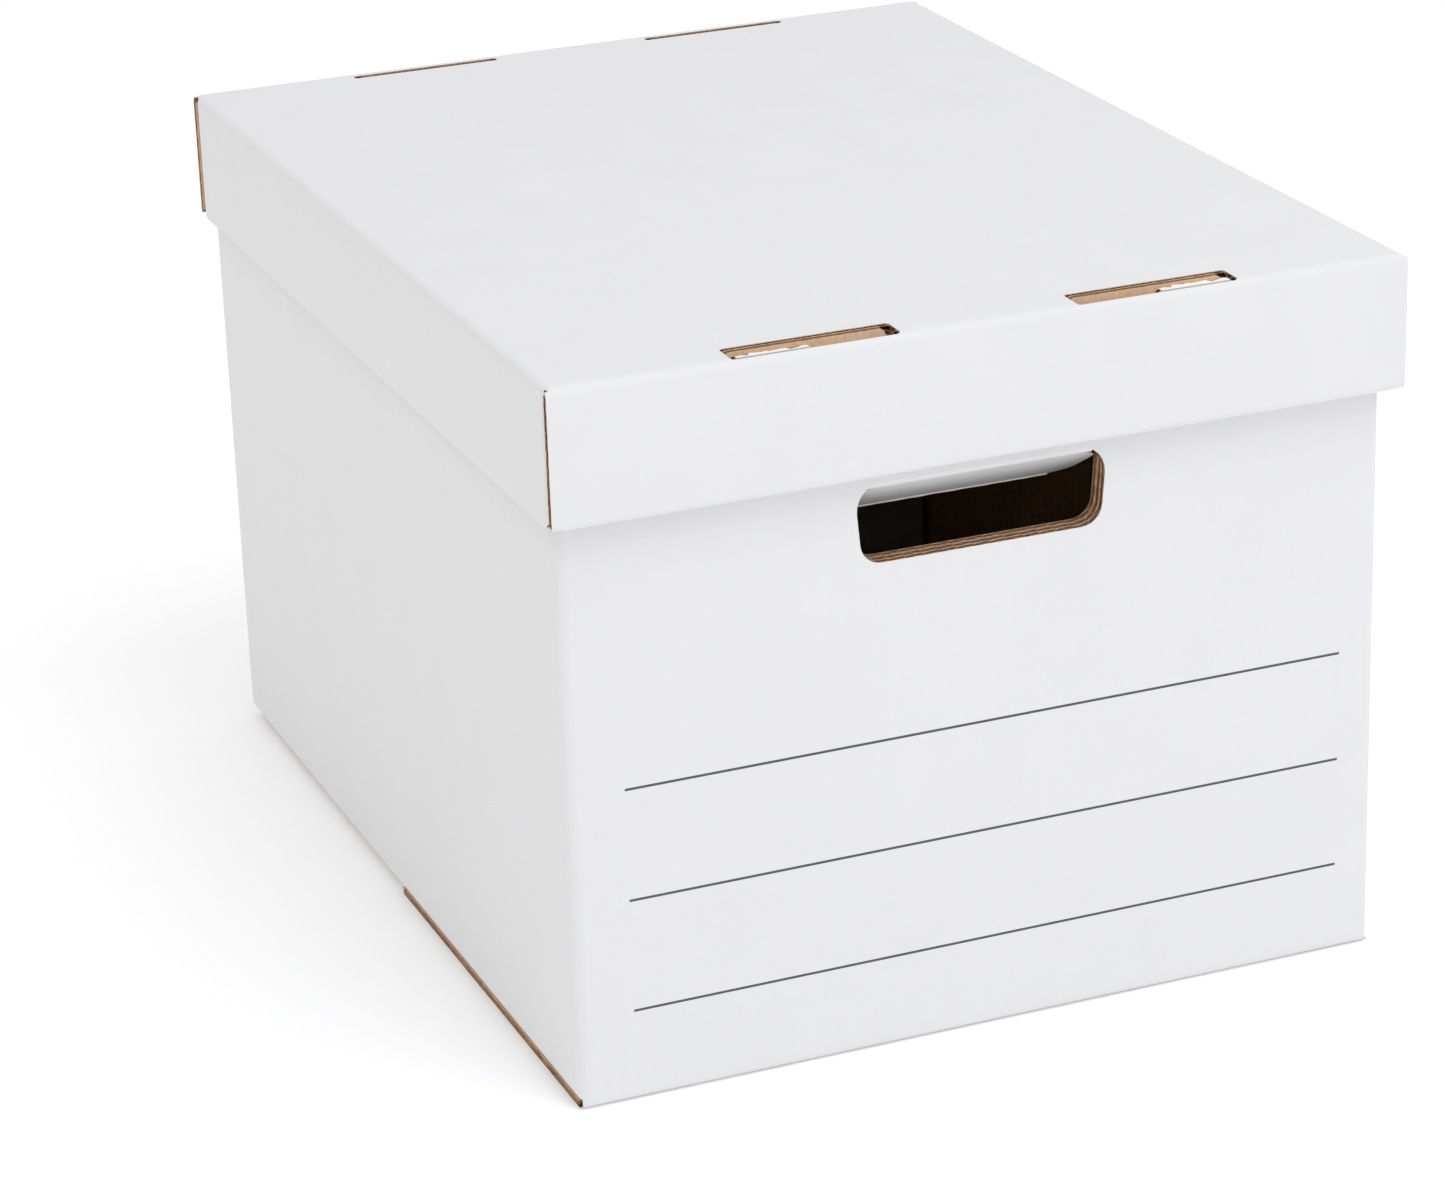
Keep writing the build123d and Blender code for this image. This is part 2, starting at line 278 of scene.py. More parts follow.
def outline(*corners):
    """Points round an outline. A corner is (x, y) or (x, y, radius)."""
    points = []
    for i, here in enumerate(corners):
        at = Vector(here[:2])
        radius = here[2] if len(here) > 2 else 0
        if not radius:
            points.append(tuple(at))
            continue
        before = (Vector(corners[i - 1][:2]) - at).normalized()
        after = (Vector(corners[(i + 1) % len(corners)][:2]) - at).normalized()
        half = before.angle(after) / 2
        centre = at + (before + after).normalized() * (radius / math.sin(half))
        start = at + before * (radius / math.tan(half)) - centre
        turn = start.angle_signed(at + after * (radius / math.tan(half)) - centre)
        for k in range(corner_segments + 1):
            point = start.copy()
            point.rotate(Matrix.Rotation(-turn * k / corner_segments, 2))
            points.append(tuple(centre + point))
    return points


def flat_ends(span, creases):
    """A folded span laid flat: its ends, the ends of its flat part, and where its bends are cut."""
    ends, flats, cuts = list(span), list(span), []
    for end, crease in enumerate(creases):
        if crease is None:
            continue
        sign = 1 if end == 0 else -1
        radius, turn = crease[0] + board, crease[1]
        flats[end] = span[end] + sign * radius
        ends[end] = flats[end] - sign * radius * turn
        cuts += [flats[end] - sign * radius * turn * k / steps_per_bend for k in range(steps_per_bend)]
    return ends, flats, cuts


def cut_sheet(outlines, columns, rows):
    """Cut flat sheet to its outlines, in strips between the columns: points and faces."""
    segments = []
    turning_rows = []
    for points in outlines:
        for i, (x, y) in enumerate(points):
            x_next, y_next = points[(i + 1) % len(points)]
            x_last = points[i - 1][0]
            segments.append((x, y, x_next, y_next))
            if (x_last - x) * (x_next - x) >= 0:
                turning_rows.append(y)
    own = sorted({round(s[0], 8) for s in segments})
    near = [c for c in columns if own[0] < c < own[-1] and min(abs(c - x) for x in own) > narrowest_strip]
    stops = sorted(set(own) | {round(c, 8) for c in near})
    levels = sorted({round(r, 8) for r in (*rows, *turning_rows)})
    points, index, faces = [], {}, []

    def point(x, y):
        key = (round(x, 8), round(y, 8))
        if key not in index:
            index[key] = len(points)
            points.append(key)
        return index[key]

    for left, right in zip(stops, stops[1:]):
        middle = (left + right) / 2
        crossing = []
        for x0, y0, x1, y1 in segments:
            if min(x0, x1) < middle < max(x0, x1):
                slope = (y1 - y0) / (x1 - x0)
                crossing.append([y0 + slope * (x - x0) for x in (middle, left, right)])
        crossing.sort()
        for low, high in zip(crossing[::2], crossing[1::2]):
            between = [r for r in levels if max(low) + 1e-7 < r < min(high) - 1e-7]
            lefts = [low[1], *between, high[1]]
            rights = [low[2], *between, high[2]]
            for k in range(len(between) + 1):
                corners = (
                    point(left, lefts[k]), point(right, rights[k]),
                    point(right, rights[k + 1]), point(left, lefts[k + 1]),
                )
                face = [c for j, c in enumerate(corners) if c != corners[j - 1]]
                if len(face) > 2:
                    faces.append(face)
    return np.array(points), faces


def between_faces(points, faces, top, bottom):
    """Close a sheet: its points at the top and bottom heights, with a rim round each opening."""
    count = len(points)
    directed = {(f[i - 1], f[i]) for f in faces for i in range(len(f))}
    rim = [(a, a + count, b + count, b) for a, b in directed if (b, a) not in directed]
    under = [[c + count for c in reversed(f)] for f in faces]
    solid = np.vstack([np.column_stack([points, top]), np.column_stack([points, bottom])])
    return solid, list(faces), under, sorted(rim)


# Corrugator: waves a flat sheet across its strips and gives it the thickness of its paper
corrugator = bpy.data.node_groups.new("corrugator", "GeometryNodeTree")
for label, kind in (("Sheet", "Geometry"), ("Pitch", "Float"), ("Rise", "Float"), ("Paper", "Float"),
                    ("Finish", "Material"), ("Edge Finish", "Material")):
    corrugator.interface.new_socket(label, in_out="INPUT", socket_type=f"NodeSocket{kind}")
corrugator.interface.new_socket("Sheet", in_out="OUTPUT", socket_type="NodeSocketGeometry")
corrugator_in = corrugator.nodes.new("NodeGroupInput").outputs
across = node(corrugator, "ShaderNodeSeparateXYZ", {
    0: corrugator.nodes.new("GeometryNodeInputPosition").outputs[0],
}).outputs["X"]
wave_turns = sum_of(corrugator, across, corrugator_in["Pitch"], "DIVIDE")
wave = sum_of(corrugator, sum_of(corrugator, wave_turns, 2 * math.pi, "MULTIPLY"), 0.0, "SINE")
rise = node(corrugator, "ShaderNodeCombineXYZ", {
    "Z": sum_of(corrugator, wave, corrugator_in["Rise"], "MULTIPLY"),
}).outputs[0]
waved = node(corrugator, "GeometryNodeSetPosition", {
    "Geometry": corrugator_in["Sheet"], "Offset": rise,
}).outputs[0]
extruded = node(corrugator, "GeometryNodeExtrudeMesh", {
    "Mesh": waved,
    "Offset": node(corrugator, "ShaderNodeCombineXYZ", {"Z": 1.0}).outputs[0],
    "Offset Scale": corrugator_in["Paper"],
    "Individual": False,
})
thickened = extruded.outputs["Mesh"]
back = node(corrugator, "GeometryNodeFlipFaces", {"Mesh": waved}).outputs[0]
closed = node(corrugator, "GeometryNodeJoinGeometry")
corrugator.links.new(thickened, closed.inputs[0])
corrugator.links.new(back, closed.inputs[0])
merged = node(corrugator, "GeometryNodeMergeByDistance", {
    "Geometry": closed.outputs[0], "Distance": 1e-6,
}).outputs[0]
real = node(corrugator, "GeometryNodeRealizeInstances", {"Geometry": merged}).outputs[0]
faced = node(corrugator, "GeometryNodeSetMaterial", {
    "Geometry": real, "Material": corrugator_in["Finish"],
}).outputs[0]
finished = node(corrugator, "GeometryNodeSetMaterial", {
    "Geometry": faced, "Selection": extruded.outputs["Side"], "Material": corrugator_in["Edge Finish"],
}).outputs[0]
corrugator.links.new(finished, corrugator.nodes.new("NodeGroupOutput").inputs[0])


def run_tree(tree, mesh, values):
    """The plain mesh that a geometry tree makes of a mesh, with its named inputs set."""
    carrier = scene_object("carrier", mesh)
    modifier = carrier.modifiers.new("tree", "NODES")
    modifier.node_group = tree
    for item in tree.interface.items_tree:
        if item.item_type == "SOCKET" and item.in_out == "INPUT" and item.name in values:
            modifier[item.identifier] = values[item.name]
    ready = carrier.evaluated_get(bpy.context.evaluated_depsgraph_get())
    made = bpy.data.meshes.new_from_object(ready)
    bpy.data.objects.remove(carrier)
    return made


def folded(flat, across, up, across_creases, up_creases):
    """Points of a flat panel (x, y, height over its white side) bent round its creases."""
    bent = np.array(flat, float)
    heights = []
    for axis, (span, creases) in enumerate(((across, across_creases), (up, up_creases))):
        height = flat[:, 2].copy()
        for end, crease in enumerate(creases):
            if crease is None:
                continue
            sign = 1 if end == 1 else -1
            radius = crease[0] + board
            start = span[end] - sign * radius
            turn = np.clip(sign * (flat[:, axis] - start) / radius, 0, None)
            reach = radius + flat[:, 2]
            beyond = turn > 0
            bent[beyond, axis] = start + sign * (reach * np.sin(turn))[beyond]
            height[beyond] = (reach * np.cos(turn) - radius)[beyond]
        heights.append(height)
    bent[:, 2] = np.minimum(*heights)
    return bent


def plain_shape(x_ends, y_ends):
    """The outline of a panel with square corners."""
    return [(x_ends[0], y_ends[0]), (x_ends[1], y_ends[0]), (x_ends[1], y_ends[1]), (x_ends[0], y_ends[1])]


def board_panel(name, face, across, up, across_creases=(None, None), up_creases=(None, None),
                flutes="up", holes=(), shape=None, lean=None, flutes_through_bends=False):
    """A panel of board: white liner, fluted paper and brown liner, cut to shape and folded."""
    x_ends, x_flats, x_cuts = flat_ends(across, across_creases)
    y_ends, y_flats, y_cuts = flat_ends(up, up_creases)
    edge = (shape or plain_shape)(x_ends, y_ends)
    flip = flutes == "across"

    def turned(points):
        return [(y, x) for x, y in points] if flip else points

    verts, faces, kinds = [], [], []

    def add_paper(points, new_faces, new_kinds):
        start = sum(len(v) for v in verts)
        verts.append(points)
        faces.extend([c + start for c in f] for f in new_faces)
        kinds.extend(new_kinds)

    sheet, sheet_faces = cut_sheet([edge, *holes], x_cuts, y_cuts)
    # Each liner's face towards the core takes the fluting finish, which carries painted shade for the
    # hollows.
    for top, finishes in (
        (0.0, (WHITE, FLUTING_WITH_PAINTED_SHADE, CUT_WHITE)), (liner - board, (FLUTING_WITH_PAINTED_SHADE, BROWN, CUT_BROWN)),
    ):
        flat, *sides = between_faces(
            sheet, sheet_faces, np.full(len(sheet), top), np.full(len(sheet), top - liner)
        )
        add_paper(
            flat, [f for group in sides for f in group],
            [finish for group, finish in zip(sides, finishes) for _ in group],
        )

    # The flutes run on round the bends that they lie along, and stop short of those they cross
    by_x, by_y = (x_ends, x_flats, x_cuts), (y_ends, y_flats, y_cuts)
    (across_ends, _, _), (ends, flats, cuts) = (by_y, by_x) if flip else (by_x, by_y)
    step = flute_pitch / steps_per_flute
    columns = np.arange(math.ceil(across_ends[0] / step), math.floor(across_ends[1] / step) + 1) * step
    limits = ends if flutes_through_bends else flats
    rows = cuts if flutes_through_bends else ()
    core_edges = []
    for points in (edge, *holes):
        core_edges.append([(x, min(max(y, limits[0]), limits[1])) for x, y in turned(points)])
    core, core_faces = cut_sheet(core_edges, columns, rows)
    mesh = bpy.data.meshes.new("core")
    mesh.from_pydata([(*p, 0) for p in core], [], core_faces)
    rise_of_flutes = (board - 2 * liner - fluting_paper) / 2
    waved_mesh = run_tree(corrugator, mesh, {
        "Pitch": flute_pitch, "Rise": rise_of_flutes, "Paper": fluting_paper, "Finish": fluting_with_painted_shade,
        "Edge Finish": cut_brown,
    })
    core_points = np.array([v.co for v in waved_mesh.vertices])
    core_points[:, 2] -= board / 2 + fluting_paper / 2
    core_polygons = [list(p.vertices) for p in waved_mesh.polygons]
    if flip:
        core_points[:, [0, 1]] = core_points[:, [1, 0]]
        core_polygons = [f[::-1] for f in core_polygons]
    core_papers = [papers.index(m) if m in papers else FLUTING_WITH_PAINTED_SHADE for m in waved_mesh.materials]
    add_paper(core_points, core_polygons, [core_papers[p.material_index] for p in waved_mesh.polygons])
    bpy.data.meshes.remove(waved_mesh)
    bpy.data.meshes.remove(mesh)

    flat = np.vstack(verts)
    bent = folded(flat, across, up, across_creases, up_creases)
    if lean:
        root, top, shift = lean
        bent[:, 2] += shift * np.clip((bent[:, 1] - root) / (top - root), 0, None)
    origin, right, upwards, outwards = (np.array(v) for v in face)
    placed = origin + bent[:, :1] * right + bent[:, 1:2] * upwards + bent[:, 2:] * outwards

    made = bpy.data.meshes.new(name)
    made.from_pydata(placed.tolist(), [], faces)
    made.polygons.foreach_set("material_index", kinds)
    for paper in papers:
        made.materials.append(paper)
    order = (1, 0) if flip else (0, 1)
    corners = np.empty(len(made.loops), np.int32)
    made.loops.foreach_get("vertex_index", corners)
    made.uv_layers.new(name="sheet").uv.foreach_set(
        "vector", flat[corners][:, order].astype(np.float32).ravel()
    )
    made.shade_smooth()
    made.set_sharp_from_angle(angle=sharp_angle)
    return scene_object(name, made)


box_half = (box_rear - box_front) / 2
wall_span = (-box_half, box_half)
wall_height = (board, wall_top)

left_wall = board_panel(
    "left_wall_board", upright(-1, 0, -box_left), wall_span, wall_height, (None, corner), (soft, None)
)
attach(left_wall, "box")
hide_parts("left_side_panel")

right_wall = board_panel(
    "right_wall_board", upright(1, 0, box_right), wall_span, wall_height, (corner, corner), (soft, None)
)
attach(right_wall, "box")
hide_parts("right_side_panel")

# Seam flap
# The maker's joint: a flap of the rear end, folded round the rear left corner and glued to the
# inside of the left wall. Its ends are tapered so that they never show past the wall.
seam_low, seam_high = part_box("seam_flap")[0].z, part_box("seam_flap")[1].z
seam_width = 0.035
seam_taper = 0.012

seam_flap = board_panel(
    "seam_flap_board", upright(-1, 0, -box_left - board),
    (-box_half, seam_width - box_half), (seam_low, seam_high), (corner, None),
    shape=lambda x_ends, y_ends: outline(
        (x_ends[0], y_ends[0]), (x_ends[1], y_ends[0] + seam_taper),
        (x_ends[1], y_ends[1] - seam_taper), (x_ends[0], y_ends[1]),
    ),
)
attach(seam_flap, "box")
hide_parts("seam_flap")

# Ends of the box
# Three plies folded from one strip: the outer ply turns over the rim and down inside as the inner
# ply, then turns back at the floor and runs up between them as the middle ply. A hand hole is cut
# through all three, a little larger in the two hidden plies.
rim_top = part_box("front_rim")[1].z
end_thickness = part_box("front_inner_panel")[1].y - box_front
inner_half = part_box("front_inner_panel")[1].x
floor_top = 2 * board
middle_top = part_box("front_middle_panel")[1].z

hole_top = 0.2121
hole_bottom = 0.1831
hole_half_top = 0.0475
hole_half_bottom = 0.045
hole_bottom_radius = 0.008
outer_hole_radius = 0.0095
inner_hole_radius = 0.0015
inner_hole_rise = 0.0006


def hand_hole(radius, rise=0.0, inset=0.0):
    """The outline of a hand hole, with its upper corners rounded to a radius."""
    low, high = hole_bottom + inset, hole_top + rise - inset
    return outline(
        (inset - hole_half_bottom, low, hole_bottom_radius),
        (hole_half_bottom - inset, low, hole_bottom_radius),
        (hole_half_top - inset, high, radius), (inset - hole_half_top, high, radius),
    )


for end, facing in (("front", -1), ("rear", 1)):
    seam = board if end == "rear" else 0
    plies_span = (-inner_half, inner_half - seam)
    outer_face = upright(0, facing, box_half)
    outer_ply = board_panel(
        f"{end}_end_board", outer_face, (box_left, box_right - seam), (0, rim_top),
        (corner, corner), (soft, soft), holes=[hand_hole(outer_hole_radius)],
    )
    rim = board_panel(
        f"{end}_rim_board", (Vector((0, 0, rim_top)), outer_face[1], -outer_face[3], Vector((0, 0, 1))),
        plies_span, (-box_half, end_thickness - box_half), up_creases=(soft, soft), flutes_through_bends=True,
    )
    inner_ply = board_panel(
        f"{end}_inner_board", upright(0, -facing, end_thickness - box_half),
        (-plies_span[1], -plies_span[0]), (floor_top, rim_top), up_creases=(turned_back, soft),
        holes=[hand_hole(inner_hole_radius, inner_hole_rise)],
    )
    middle_ply = board_panel(
        f"{end}_middle_board", upright(0, facing, box_half - board), plies_span, (floor_top, middle_top),
        up_creases=(turned_back, None), holes=[hand_hole(inner_hole_radius, inner_hole_rise)],
    )
    for ply, replaced, finish in (
        (outer_ply, "end_panel", "white_board"), (rim, "rim", "white_board"),
        (inner_ply, "inner_panel", "white_board"), (middle_ply, "middle_panel", "kraft_board"),
    ):
        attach(ply, "box")
        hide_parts(f"{end}_{replaced}")

# Hand tabs
# The board cut from each hand hole stays on as a flap, hinged on a crease along the top of the
# hole. It is pushed in and leans back under the rim, and the white liner runs on round the crease.
tab_gap = 0.00035
tab_lean = math.radians(58.5)
crease_reach = 0.004
crease_half = hole_half_top - outer_hole_radius + crease_reach
crease_steps = 10
crease_lift = 0.00002
lip_depth = 0.0006
lip_half = hole_half_bottom - hole_bottom_radius
lip_shallowest = 0.7
lip_step = 0.004
lip_seed = 5
lip_thickness = 0.00015

# The torn paper is white fibre, coloured lighter than the white liner as a painted highlight, so that the
# torn edges read as bright lines.
torn_paper_painted_highlight = paper_material(
    "torn_paper_painted_highlight", dark=(0.80, 0.76, 0.70), light=(0.92, 0.90, 0.86), roughness=0.7, gloss=0.2,
    fibre_share=0.6, fibre_length=0.0008, bump=0.00002,
)


def paper_strip(name, points, thickness, face, material):
    """A thin piece of paper cut to an outline, lying on a face."""
    sheet, sheet_faces = cut_sheet([points], (), ())
    flat, *sides = between_faces(
        sheet, sheet_faces, np.full(len(sheet), thickness), np.full(len(sheet), 0.0)
    )
    origin, right, upwards, outwards = face
    made = bpy.data.meshes.new(name)
    made.from_pydata(
        [origin + right * x + upwards * y + outwards * z for x, y, z in flat], [],
        [f for group in sides for f in group],
    )
    made.materials.append(material)
    return scene_object(name, made)


def torn_line(start, stop, low, high, step, seed):
    """Points along a torn edge, between two heights."""
    random = np.random.default_rng(seed)
    count = max(2, round(abs(stop - start) / step))
    places = np.linspace(start, stop, count + 1)
    places[1:-1] += random.uniform(-0.3, 0.3, count - 1) * (stop - start) / count
    return [(float(x), float(y)) for x, y in zip(places, random.uniform(low, high, count + 1))]


for end, facing in (("front", -1), ("rear", 1)):
    right = Vector((-facing, 0, 0))
    outwards = Vector((0, facing * math.cos(tab_lean), -math.sin(tab_lean)))
    upwards = outwards.cross(right)
    crease = Vector((0, facing * (box_half - board), hole_top))
    hand_tab = board_panel(
        f"{end}_hand_tab_board", (crease - upwards * hole_top + outwards * board, right, upwards, outwards),
        (-hole_half_top, hole_half_top), (hole_bottom, hole_top),
        shape=lambda x_ends, y_ends: hand_hole(outer_hole_radius, inset=tab_gap),
    )
    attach(hand_tab, f"{end}_tab")
    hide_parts(f"{end}_hand_tab")

    turns = np.linspace(0, tab_lean, crease_steps + 1)
    sheet, sheet_faces = cut_sheet(
        [plain_shape((-crease_half, crease_half), (0, tab_lean * board))], (), turns[1:-1] * board
    )
    flat, *sides = between_faces(
        sheet, sheet_faces, np.full(len(sheet), board + crease_lift), np.full(len(sheet), board - liner)
    )
    crease_points = [
        crease + right * x + Vector((0, facing * math.cos(y / board), -math.sin(y / board))) * reach
        for x, y, reach in flat
    ]
    crease_mesh = bpy.data.meshes.new(f"{end}_tab_crease")
    crease_mesh.from_pydata(crease_points, [], [f[::-1] for group in sides for f in group])
    crease_mesh.materials.append(white_liner)
    crease_mesh.shade_smooth()
    crease_mesh.set_sharp_from_angle(angle=sharp_angle)
    tab_crease = scene_object(f"{end}_tab_crease", crease_mesh)
    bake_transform(tab_crease)

    # The white liner's torn edge hangs a little over the tab's free edge
    free_edge = crease + outwards * board + upwards * (hole_bottom + tab_gap - hole_top)
    torn = torn_line(lip_half, -lip_half, -lip_depth, -lip_shallowest * lip_depth, lip_step, lip_seed)
    # The lip's paper is lighter than the liner: a painted highlight along the tab's free edge.
    lip = paper_strip(
        f"{end}_tab_lip", [(-lip_half, 0), (lip_half, 0), *torn], lip_thickness,
        (free_edge, right, Vector((0, 0, 1)), Vector((0, facing, 0))), torn_paper_painted_highlight,
    )
    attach(lip, f"{end}_tab")

# Bottom of the box
# Two layers of flaps: the end flaps lie below and meet at mid length, with raw sides, and the side
# flaps lie on them and meet at mid width. The weight of the files holds them down.
meeting_gap = 0.0008
end_flap_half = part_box("front_bottom_flap")[1].x
side_flap_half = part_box("left_bottom_flap")[1].y

unfolded = (None, None)
half_gap = meeting_gap / 2
side_flap_span = (-side_flap_half, side_flap_half)

for name, height, across, up, across_creases, up_creases, flutes in (
    ("front", 0, (-end_flap_half, end_flap_half), (half_gap, box_half), unfolded, (None, soft), "up"),
    ("rear", 0, (board - end_flap_half, end_flap_half), (-box_half, -half_gap), unfolded, (soft, None), "up"),
    ("left", board, (box_left, -half_gap), side_flap_span, (soft, None), unfolded, "across"),
    ("right", board, (half_gap, box_right), side_flap_span, (None, soft), unfolded, "across"),
):
    flap = board_panel(
        f"{name}_bottom_board", level(height, -1), across, up, across_creases, up_creases, flutes
    )
    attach(flap, "box")
    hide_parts(f"{name}_bottom_flap")

# Top of the lid
# One panel with its flutes lying across the box, and a pair of slots behind each end's fold for the
# lock tabs: the front pair is wide and starts on the fold, the rear pair is narrow.
lid_half_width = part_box("lid_right_skirt")[1].x
lid_half_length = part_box("lid_rear_skirt")[1].y
lid_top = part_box("lid_top_panel")[1].z
skirt_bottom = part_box("lid_front_spine")[0].z
roll_gap = 0.0003
ply_step = board + roll_gap
slot_length = 0.061
slot_spacing = 0.126
slot_near_edge = 0.0018
slot_far_edge = 0.013
rear_slot_play = 0.0004
slot_radius = 0.0015
lid_end_thickness = 3 * board + 2 * roll_gap
fold_radius = soft[0] + board

slots = []
for end_sign, near_edge, far_edge in (
    # The front slots' near edge lies on the bend, at its place along the unfolded sheet
    (-1, fold_radius * (1 - math.asin(1 - slot_near_edge / fold_radius)), slot_far_edge),
    (1, lid_end_thickness - board - rear_slot_play, lid_end_thickness + rear_slot_play),
):
    for slot_middle in (-slot_spacing / 2, slot_spacing / 2):
        near, far = end_sign * (lid_half_length - near_edge), end_sign * (lid_half_length - far_edge)
        slots.append(outline(*(
            (slot_middle + x * slot_length / 2, y, slot_radius)
            for x, y in ((-1, near), (1, near), (1, far), (-1, far))
        )))
lid_panel = board_panel(
    "lid_top_board", level(lid_top, 1), (-lid_half_width, lid_half_width),
    (-lid_half_length, lid_half_length), (soft, soft), (soft, soft), "across", holes=slots,
)
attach(lid_panel, "lid")
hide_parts("lid_top_panel")

# Side skirts of the lid
# Single plies with the flutes upright, folded down from the top and turned in at both ends behind
# the end skirts. Their lower corners are rounded.
skirt_radius = 0.005
side_skirt_half = lid_half_length - ply_step

for side, facing in (("left", -1), ("right", 1)):
    side_skirt = board_panel(
        f"lid_{side}_skirt_board", upright(facing, 0, lid_half_width),
        (-side_skirt_half, side_skirt_half), (skirt_bottom, lid_top), (soft, soft), (None, soft),
        shape=lambda x_ends, y_ends: outline(
            (x_ends[0], y_ends[0], skirt_radius), (x_ends[1], y_ends[0], skirt_radius),
            (x_ends[1], y_ends[1]), (x_ends[0], y_ends[1]),
        ),
    )
    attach(side_skirt, "lid")
    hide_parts(f"lid_{side}_skirt")

# Rolled ends of the lid
# The end skirt turns in along a narrow spine and back up as an inner ply, whose two lock tabs stand
# in the slots: at the front they lean back. The side skirts' corner tabs are trapped between the
# two plies, and a lug on each front one stands in the outer half of a slot.
inner_ply_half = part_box("lid_front_spine")[1].x
inner_ply_gap = 0.0003
inner_ply_top = lid_top - board - inner_ply_gap
lock_tab_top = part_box("lid_front_inner_panel")[1].z
lock_tab_root_gap = 0.0001
lock_tab_root = rim_top + lock_tab_root_gap
lock_tab_half = 0.0289
lock_tab_radius = 0.002
lock_tab_back_gap = 0.0008
lock_tab_shift = slot_far_edge - lock_tab_back_gap - lid_end_thickness
lock_tab_drift = 0.0011
corner_tab_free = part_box("lid_front_right_corner_tab")[0].x
corner_tab_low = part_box("lid_front_right_corner_tab")[0].z
corner_tab_gap = 0.0009
corner_tab_high = lid_top - board - corner_tab_gap
corner_tab_taper = 0.003
lug_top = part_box("lid_front_right_corner_tab")[1].z
lug_side_gap = 0.0012
lug_end = slot_spacing / 2 + slot_length / 2 - lug_side_gap
lug_radius = 0.001
torn_inset = 0.0012
torn_depths = {"left": (0.0003, 0.0030), "right": (0.0008, 0.0042)}
torn_step = 0.0022
torn_seed = 11
torn_thickness = 0.00025


def inner_ply_shape(x_ends, y_ends):
    """The inner ply of a rolled end, with its two lock tabs."""
    corners = [(x_ends[0], y_ends[0]), (x_ends[1], y_ends[0]), (x_ends[1], y_ends[1])]
    for slot_centre in (slot_spacing / 2, -slot_spacing / 2):
        middle = slot_centre + lock_tab_drift
        corners += [
            (middle + lock_tab_half, y_ends[1]), (middle + lock_tab_half, lock_tab_top, lock_tab_radius),
            (middle - lock_tab_half, lock_tab_top, lock_tab_radius), (middle - lock_tab_half, y_ends[1]),
        ]
    return outline(*corners, (x_ends[0], y_ends[1]))


def corner_tab_shape(sign, with_lug):
    """A corner tab whose free edge is cut back at its foot, with or without a lug on top."""
    lug = (
        (sign * lug_end, corner_tab_high), (sign * lug_end, lug_top, lug_radius),
        (sign * corner_tab_free, lug_top, lug_radius),
    ) if with_lug else ((sign * corner_tab_free, corner_tab_high),)

    def shape(x_ends, y_ends):
        fold = x_ends[1] if sign > 0 else x_ends[0]
        return outline(
            (sign * (corner_tab_free + corner_tab_taper), corner_tab_low), (fold, corner_tab_low),
            (fold, corner_tab_high), *lug, (sign * corner_tab_free, corner_tab_low + corner_tab_taper),
        )
    return shape


for end, facing in (("front", -1), ("rear", 1)):
    outer_face = upright(0, facing, lid_half_length)
    end_skirt = board_panel(
        f"lid_{end}_skirt_board", outer_face, (-lid_half_width, lid_half_width), (skirt_bottom, lid_top),
        up_creases=(tight, soft), flutes="across",
    )
    spine = board_panel(
        f"lid_{end}_spine_board",
        (Vector((0, 0, skirt_bottom)), outer_face[1], outer_face[3], Vector((0, 0, -1))),
        (-inner_ply_half, inner_ply_half), (lid_half_length - lid_end_thickness, lid_half_length),
        up_creases=(tight, tight), flutes="across",
    )
    inner_ply = board_panel(
        f"lid_{end}_inner_board", upright(0, -facing, lid_end_thickness - lid_half_length),
        (-inner_ply_half, inner_ply_half), (skirt_bottom, inner_ply_top), up_creases=(tight, None),
        flutes="across", shape=inner_ply_shape,
        lean=(lock_tab_root, lock_tab_top, lock_tab_shift) if end == "front" else None,
    )
    for ply, replaced in ((end_skirt, "skirt"), (spine, "spine"), (inner_ply, "inner_panel")):
        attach(ply, "lid")
        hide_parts(f"lid_{end}_{replaced}")
    for side, side_sign in (("left", -1), ("right", 1)):
        sign = -side_sign * facing
        corner_tab = board_panel(
            f"lid_{end}_{side}_corner_board", upright(0, facing, lid_half_length - ply_step),
            (corner_tab_free, lid_half_width) if sign > 0 else (-lid_half_width, -corner_tab_free),
            (corner_tab_low, corner_tab_high), (None, soft) if sign > 0 else (soft, None),
            shape=corner_tab_shape(sign, end == "front"),
        )
        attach(corner_tab, "lid")
        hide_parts(f"lid_{end}_{side}_corner_tab")
        if end == "front":
            # The lug's liner is torn and lies back over its cut edge
            from_x, to_x = sorted((sign * (corner_tab_free + torn_inset), sign * (lug_end - torn_inset)))
            torn = torn_line(to_x, from_x, *torn_depths[side], torn_step, torn_seed)
            lug_edge = Vector((0, ply_step - lid_half_length, lug_top))
            # The torn strip takes the lighter torn paper: a painted highlight along the lug's edge.
            torn_edge = paper_strip(
                f"lid_{side}_lug_tear", [(from_x, 0), (to_x, 0), *torn], torn_thickness,
                (lug_edge, Vector((1, 0, 0)), Vector((0, 1, 0)), Vector((0, 0, 1))), torn_paper_painted_highlight,
            )
            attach(torn_edge, "lid")

# Printed lines
# Three ruled lines across the label end, in slate ink on the white liner. They stop short of both
# corners, and each is a thin sheet sunk half into the liner's face.
line_middle = 0.003
line_half_length = 0.137
line_half_width = 0.00045
line_heights = (0.0345, 0.0762, 0.1175)
line_pieces = 23
ink_thickness = 0.00003

